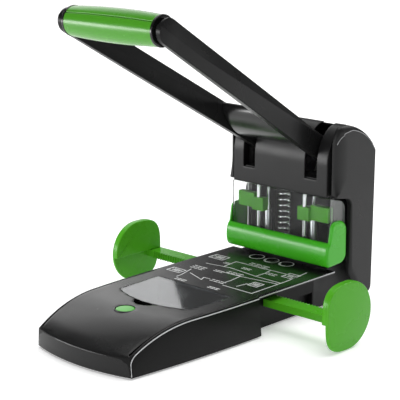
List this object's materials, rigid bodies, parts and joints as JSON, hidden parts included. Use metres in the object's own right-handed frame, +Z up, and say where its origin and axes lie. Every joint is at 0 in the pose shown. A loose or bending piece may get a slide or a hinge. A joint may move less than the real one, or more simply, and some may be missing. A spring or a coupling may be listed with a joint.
{
  "type": "heavy duty hole punch",
  "caption": "Desk hole punch with a long loop lever, a cam-driven press behind a clear shield, a storage bin under a hinged lid and sliding paper guides centred by a rack and pinion.",
  "frame": {"origin": "on the floor under the middle of the overall box", "axes": "+Y from the nose to the back, +X to the right as seen from the nose side looking to the back, +Z up"},
  "size_m": [0.4, 0.456, 0.4142],
  "materials": {
    "base_black": "fine grained black moulding",
    "tray_grey": "satin dark grey plate",
    "shell_grey": "satin anthracite moulding",
    "arm_grey": "satin dark grey moulding",
    "collar_black": "glossy black",
    "green_plastic": "glossy green moulding",
    "clear_plastic": "clear moulding",
    "bright_steel": "polished steel",
    "plain_steel": "ground steel",
    "cast_block": "black painted casting",
    "bush_brass": "turned",
    "gear_plastic": "natural acetal",
    "foot_rubber": "matt"
  },
  "bodies": {
    "frame": {"base_tub": "base_black", "rear_tub": "base_black", "bottom_plate": "base_black", "rubber_feet": "foot_rubber", "tray_top": "tray_grey", "parts_bin": "base_black", "lid_hinge_pin": "bright_steel", "rack_carrier": "base_black", "pinion_axle": "bright_steel", "die_block": "cast_block", "die_plate": "plain_steel", "paper_stop": "plain_steel", "left_frame_plate": "plain_steel", "right_frame_plate": "plain_steel", "pivot_shaft": "bright_steel", "pivot_bushes": "bush_brass", "head_plate": "plain_steel", "guide_posts": "bright_steel", "guard": "green_plastic", "shield": "clear_plastic", "front_panel": "shell_grey", "rear_cover": "shell_grey", "left_cheek": "shell_grey", "right_cheek": "shell_grey", "return_spring": "bright_steel"},
    "lever": {"left_arm": "arm_grey", "right_arm": "arm_grey", "lever_web": "arm_grey", "cam_tube": "plain_steel", "grip_tube": "plain_steel", "grip_front_shell": "green_plastic", "grip_rear_shell": "green_plastic", "left_collar": "collar_black", "right_collar": "collar_black"},
    "press": {"press_bar": "plain_steel", "left_pin_holder": "green_plastic", "right_pin_holder": "green_plastic", "left_punch_pin": "bright_steel", "right_punch_pin": "bright_steel"},
    "right_guide": {"right_rack": "green_plastic", "right_paddle": "green_plastic"},
    "left_guide": {"left_rack": "green_plastic", "left_paddle": "green_plastic"},
    "pinion": {"rack_pinion": "gear_plastic"},
    "lid": {"clear_lid": "clear_plastic"},
    "button": {"release_button": "green_plastic"},
    "drawer": {"chip_drawer": "base_black"}
  },
  "joints": [
    {"name": "lever_hinge", "type": "hinge", "parent": "frame", "child": "lever", "pos_m": [0, 0.182, 0.1985], "axis": [1, 0, 0], "range_deg": [0, 40], "stiffness_Nm_per_rad": 3, "springref_deg": -80.21},
    {"name": "press_slide", "type": "slide", "parent": "frame", "child": "press", "axis": [0, 0, -1], "range_m": [0, 0.011], "deforming": ["return_spring"]},
    {"name": "right_guide_slide", "type": "slide", "parent": "frame", "child": "right_guide", "axis": [1, 0, 0], "range_m": [-0.056, 0.008]},
    {"name": "left_guide_slide", "type": "slide", "parent": "frame", "child": "left_guide", "axis": [-1, 0, 0], "range_m": [-0.056, 0.008]},
    {"name": "pinion_spin", "type": "hinge", "parent": "frame", "child": "pinion", "pos_m": [0, 0.06436, 0.0353], "axis": [0, 0, 1], "range_deg": [-179, 26]},
    {"name": "lid_hinge", "type": "hinge", "parent": "frame", "child": "lid", "pos_m": [0, -0.027, 0.05], "axis": [-1, 0, 0], "range_deg": [0, 75]},
    {"name": "button_press", "type": "slide", "parent": "frame", "child": "button", "axis": [0, 0, -1], "range_m": [0, 0.0025], "stiffness_N_per_m": 400, "springref_m": -0.002},
    {"name": "drawer_slide", "type": "slide", "parent": "frame", "child": "drawer", "axis": [0, 1, 0], "range_m": [0, 0.085]}
  ],
  "couplings": [
    {"joint": "press_slide", "follows": "lever_hinge", "m_per_rad": 0.015756},
    {"joint": "left_guide_slide", "follows": "right_guide_slide", "ratio": 1},
    {"joint": "pinion_spin", "follows": "right_guide_slide", "rad_per_m": 55.556}
  ]
}
